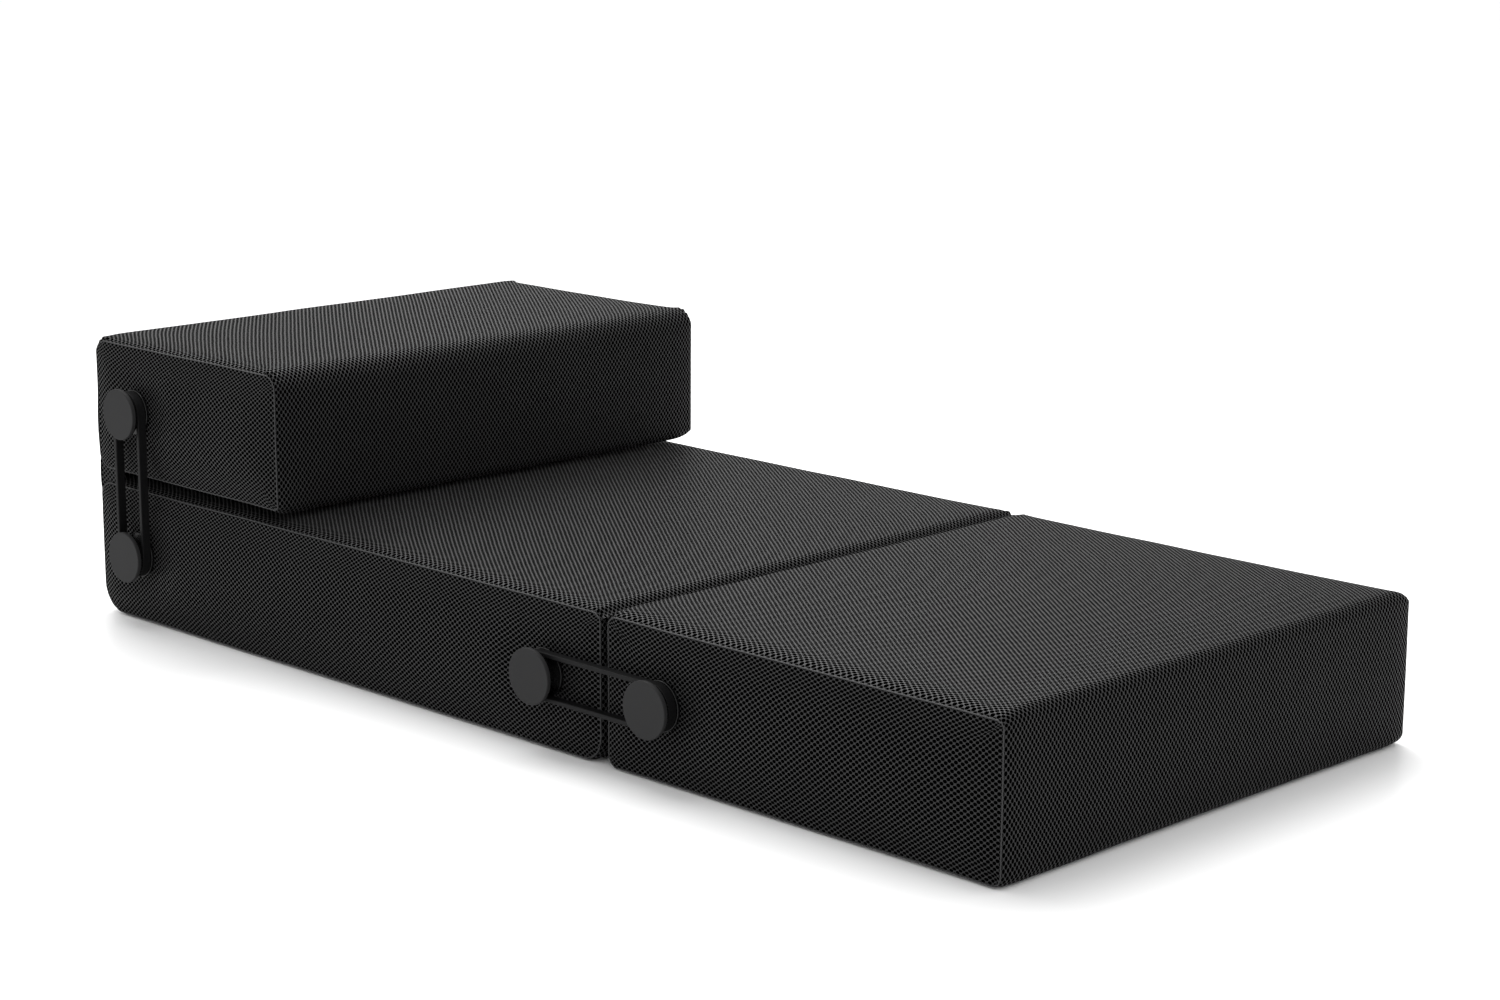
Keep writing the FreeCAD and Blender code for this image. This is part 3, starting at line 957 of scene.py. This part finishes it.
def make_zip(block):
    """The tape and its teeth, in the place of the engineering model's tape."""
    low, high = block.zip_low.copy(), block.zip_high.copy()
    across = 2 if block.zip_on_back else 1
    if block.zip_on_back:
        high.y = low.y + TAPE_THICKNESS
    else:
        low.z = high.z - TAPE_THICKNESS
    tape = new_box(block.name + "_zip_band", low, high)
    tape.data.materials.append(FINISH["zip_tape"])
    middle = (low[across] + high[across]) / 2
    first = Vector((low.x + TOOTH_PITCH, 0, 0))
    first[across] = middle
    up = 3 - across
    first[up] = high.y + TOOTH.z / 2 if block.zip_on_back else low.z - TOOTH.z / 2
    half = Vector((TOOTH.x / 2, 0, 0))
    half[across] = TOOTH.y / 2
    half[up] = TOOTH.z / 2
    teeth = new_box(block.name + "_zip_teeth", first - half, first + half)
    finish_modifier(teeth, "BEVEL", width=TOOTH_ROUNDING, segments=2)
    count = int((high.x - low.x - 2 * TOOTH_PITCH) / TOOTH_PITCH)
    finish_modifier(
        teeth, "ARRAY", count=count, use_relative_offset=False, use_constant_offset=True,
        constant_offset_displace=(TOOTH_PITCH, 0, 0),
    )
    teeth.data.materials.append(FINISH["zip_metal"])
    smooth(teeth)
    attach(tape, block.name)
    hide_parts(block.name + "_zip_tape")
    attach(teeth, block.name)
    print(block.name, "zip with", count, "teeth")


for block in BLOCKS.values():
    make_zip(block)

# %% [markdown]
# ## Fabric webs at the folds
# A web is a strip of the same cloth, sewn to the rounded edges of two covers. It lies in the groove
# between them, where the blocks rest.

# %% Webs
WEB_ROWS = 10
WEB_COLUMNS = 48
WEB_THICKNESS = 1.6 * MM
WEB_INSET = 1 * MM       # how far the web ends inside the side seams, and sits inside the covers


def face_outwards(piece):
    """Turns all of a piece's faces outwards."""
    edit(piece)
    bpy.ops.mesh.select_all(action="SELECT")
    bpy.ops.mesh.normals_make_consistent(inside=False)
    bpy.ops.object.mode_set(mode="OBJECT")


def make_web(name, first, second, bulge, bodies, cad_node):
    """A strip from a line on one block to a line on the other. Points are (y, z)."""
    half = BLOCKS["base"].high.x - SEAM_IN - WEB_INSET
    bpy.ops.object.select_all(action="DESELECT")
    bpy.ops.mesh.primitive_grid_add(x_subdivisions=WEB_COLUMNS, y_subdivisions=WEB_ROWS, size=1)
    web = bpy.context.object
    web.name = name
    points = places(web)
    share = points[:, 1] + 0.5
    first, second, bulge = np.array(first), np.array(second), np.array(bulge)
    line = first + (second - first) * share[:, None] + bulge * np.sin(np.pi * share)[:, None]
    along = np.linalg.norm(second - first)
    layer = web.data.uv_layers[0]
    layer.name = "cloth"
    for face in web.data.polygons:
        for loop, corner in zip(face.loop_indices, face.vertices):
            layer.data[loop].uv = (points[corner, 0] * 2 * half, share[corner] * along)
    move_to(web, np.stack([points[:, 0] * 2 * half, line[:, 0], line[:, 1]], 1))
    web.data.materials.append(FINISH["hinge_fabric"])
    finish_modifier(web, "SOLIDIFY", thickness=WEB_THICKNESS, offset=0)
    face_outwards(web)
    smooth(web, 60)
    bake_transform(web)
    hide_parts(cad_node)
    print(name, "joins", bodies[0], "and", bodies[1])


def on_edge(corner, into_y, into_z, radius, depth):
    """The point of a rounded edge that lies a depth inside the end face, as (y, z)."""
    across = radius - depth
    rise = math.sqrt(radius ** 2 - across ** 2)
    return (corner[0] + into_y * depth, corner[1] + into_z * (radius - rise))


# %% The two webs
base, head, foot = BLOCKS["base"], BLOCKS["head"], BLOCKS["foot"]
WEB_SEAT = 1.8 * MM      # how deep the head's web is sewn inside the end faces
HEAD_WEB_BULGE = 1 * MM
make_web(
    "head_web",
    on_edge(base.corners[2], -1, -1, base.radii[2] - WEB_INSET, WEB_SEAT),
    on_edge(head.corners[1], -1, 1, head.radii[1] - WEB_INSET, WEB_SEAT),
    (HEAD_WEB_BULGE, 0), ("base", "head"), "head_fold_web",
)
FOOT_WEB_DEPTH = 9 * MM  # how deep the foot's web lies in the groove
FOOT_WEB_SEAT = 4 * MM
FOOT_WEB_SAG = 4 * MM
make_web(
    "foot_web",
    (base.low.y + FOOT_WEB_SEAT, base.high.z - FOOT_WEB_DEPTH),
    (foot.high.y - FOOT_WEB_SEAT, foot.high.z - FOOT_WEB_DEPTH),
    (0, -FOOT_WEB_SAG), ("base", "foot"), "foot_fold_web",
)

# %% [markdown]
# At its ends the head web turns in and closes the V between the rounded edges. This gusset is sewn to
# both blocks along the V, as a flat panel across it. Two halves, one on each
# block, were simpler to make, but they stood apart once the fold was open.

# %% Gussets
GUSSET_REACH = 38 * MM
GUSSET_INSET = 2.5 * MM  # how far it lies inside the side seam
GUSSET_PLACE = base.high.x - SEAM_IN - GUSSET_INSET
GUSSET_OVERLAP = 2 * MM  # how far it reaches under the covers' rounded edges
GUSSET_TO_WEB = 0.5 * MM
GUSSET_THICKNESS = 1.2 * MM
GUSSET_ROWS = 24


def make_gusset(name, side):
    """A flat panel across the V between the base's and the head's rounded edges."""
    y, top = base.corners[2]
    bottom = head.corners[1][1]
    r = base.radii[2]
    fold = (top + bottom) / 2
    centre = fold - top + r
    rounded = r - SEAM_DROP - GUSSET_OVERLAP
    line = []
    for row in range(GUSSET_ROWS + 1):
        z = fold + centre * (2 * row / GUSSET_ROWS - 1)
        from_centre = centre - abs(z - fold)
        start = y - GUSSET_REACH
        if from_centre < rounded:
            start = y - r + math.sqrt(rounded ** 2 - from_centre ** 2)
        line += [(start, z), (y - GUSSET_TO_WEB, z)]
    mesh = bpy.data.meshes.new(name)
    x = side * GUSSET_PLACE
    faces = [(2 * n, 2 * n + 1, 2 * n + 3, 2 * n + 2) for n in range(GUSSET_ROWS)]
    mesh.from_pydata([(x, a, b) for a, b in line], [], faces)
    layer = mesh.uv_layers.new(name="cloth")
    for loop in mesh.loops:
        a, b = line[loop.vertex_index]
        layer.data[loop.index].uv = (b, a)
    piece = bpy.data.objects.new(name, mesh)
    bpy.context.scene.collection.objects.link(piece)
    mesh.materials.append(FINISH["hinge_fabric"])
    finish_modifier(piece, "SOLIDIFY", thickness=GUSSET_THICKNESS, offset=0)
    face_outwards(piece)
    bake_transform(piece)
    print(name, "joins base and head")


make_gusset("head_gusset_left", -1)
make_gusset("head_gusset_right", 1)

# %% [markdown]
# ## Studio
# A white floor that runs out of sight, a broad soft light above and behind, and a dim fill. The light
# from above makes the tops paler than the sides and puts a soft shadow under the blocks. A curved
# backdrop would do as well as the white world, but it would cast its own shade on the floor.

# %% Floor
FLOOR_SIZE = 40
FLOOR_WHITE = 0.95
bpy.ops.object.select_all(action="DESELECT")
bpy.ops.mesh.primitive_plane_add(size=FLOOR_SIZE, location=(0, 0, 0))
floor = bpy.context.object
floor.name = "floor"
floor_material, _, floor_shader = new_material("floor_white", roughness=0.35)
floor_shader.inputs["Base Color"].default_value = (FLOOR_WHITE, FLOOR_WHITE, FLOOR_WHITE, 1)
floor_shader.inputs["Specular IOR Level"].default_value = 0.3
floor.data.materials.append(floor_material)
print("floor:", FLOOR_SIZE, "m wide")


# %% Lights
LIGHTS = {
    "overhead": {"place": (0.8, 1.2, 2.8), "target": (0, -0.1, 0.2), "size": (3.2, 3.2), "power": 145},
    "left_fill": {"place": (-3.2, -0.6, 1.2), "target": (0, 0, 0.2), "size": (2.0, 1.6), "power": 5},
}
WORLD_STRENGTH = 1.08


def soft_light(name, place, target, size, power):
    """A rectangular light that is turned to a target."""
    data = bpy.data.lights.new(name, "AREA")
    data.shape = "RECTANGLE"
    data.size, data.size_y = size
    data.energy = power
    light = bpy.data.objects.new(name, data)
    light.location = place
    light.rotation_mode = "QUATERNION"
    light.rotation_quaternion = (Vector(target) - Vector(place)).to_track_quat("-Z", "Y")
    bpy.context.scene.collection.objects.link(light)


for name, settings in LIGHTS.items():
    soft_light(name, **settings)

world = bpy.data.worlds.new("studio")
world.use_nodes = True
background = world.node_tree.nodes["Background"]
background.inputs["Color"].default_value = (1, 1, 1, 1)
background.inputs["Strength"].default_value = WORLD_STRENGTH
bpy.context.scene.world = world
bpy.context.scene.view_settings.view_transform = "Standard"
print("lights:", ", ".join(LIGHTS))
